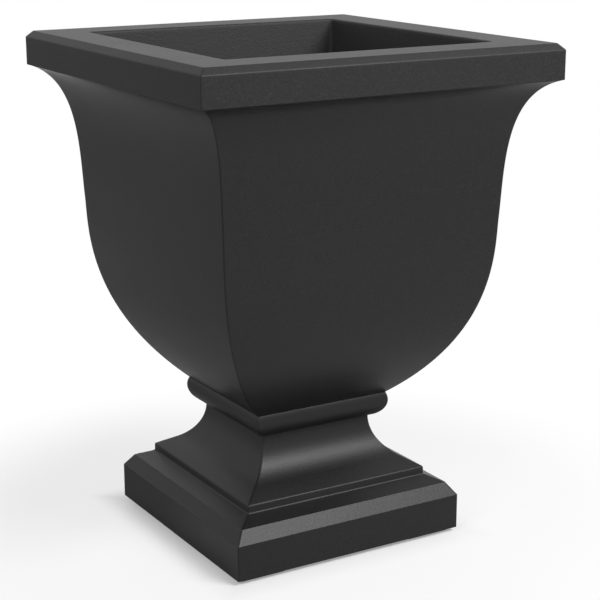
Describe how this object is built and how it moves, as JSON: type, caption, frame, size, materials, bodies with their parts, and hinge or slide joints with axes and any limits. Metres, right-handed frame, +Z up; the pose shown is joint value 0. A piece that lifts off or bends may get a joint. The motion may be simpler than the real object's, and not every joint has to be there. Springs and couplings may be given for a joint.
{
  "type": "urn planter",
  "caption": "Square urn planter: flared bowl with a bevelled collar on a moulded pedestal, with a lift-out planting liner, a water reservoir and a pull-out overflow tube.",
  "frame": {"origin": "on the ground under the middle of the planter", "axes": "+Z up along the planter axis; the flat sides face +X, -X, +Y and -Y; the picture shows the -X side on the left and the -Y side on the right"},
  "size_m": [0.508, 0.508, 0.66],
  "materials": {
    "charcoal_moulding": "fine pebbled satin polyethylene",
    "charcoal_liner": "coarser pebbled satin polyethylene",
    "black_fittings": "smooth satin",
    "foot_rubber": "matte",
    "seal_rubber": "matte",
    "stainless_fasteners": "machined",
    "insert_brass": "machined"
  },
  "bodies": {
    "base": {"pedestal": "charcoal_moulding", "outer_bowl": "charcoal_moulding", "threaded_insert_1": "insert_brass", "threaded_insert_2": "insert_brass", "threaded_insert_3": "insert_brass", "threaded_insert_4": "insert_brass", "pedestal_bolt_1": "stainless_fasteners", "pedestal_bolt_2": "stainless_fasteners", "pedestal_bolt_3": "stainless_fasteners", "pedestal_bolt_4": "stainless_fasteners", "bolt_washer_1": "stainless_fasteners", "bolt_washer_2": "stainless_fasteners", "bolt_washer_3": "stainless_fasteners", "bolt_washer_4": "stainless_fasteners", "foot_pad_1": "foot_rubber", "foot_pad_2": "foot_rubber", "foot_pad_3": "foot_rubber", "foot_pad_4": "foot_rubber", "foot_screw_1": "stainless_fasteners", "foot_screw_2": "stainless_fasteners", "foot_screw_3": "stainless_fasteners", "foot_screw_4": "stainless_fasteners"},
    "liner": {"planting_liner": "charcoal_liner", "wick_cup_1": "black_fittings", "wick_cup_2": "black_fittings", "wick_cup_3": "black_fittings", "wick_cup_4": "black_fittings"},
    "overflow": {"overflow_tube": "black_fittings", "tube_seal": "seal_rubber"}
  },
  "joints": [
    {"name": "liner_lift", "type": "slide", "parent": "base", "child": "liner", "axis": [0, 0, 1], "range_m": [0, 0.46]},
    {"name": "overflow_pull", "type": "slide", "parent": "base", "child": "overflow", "axis": [0, 0, -1], "range_m": [0, 0.112]}
  ]
}
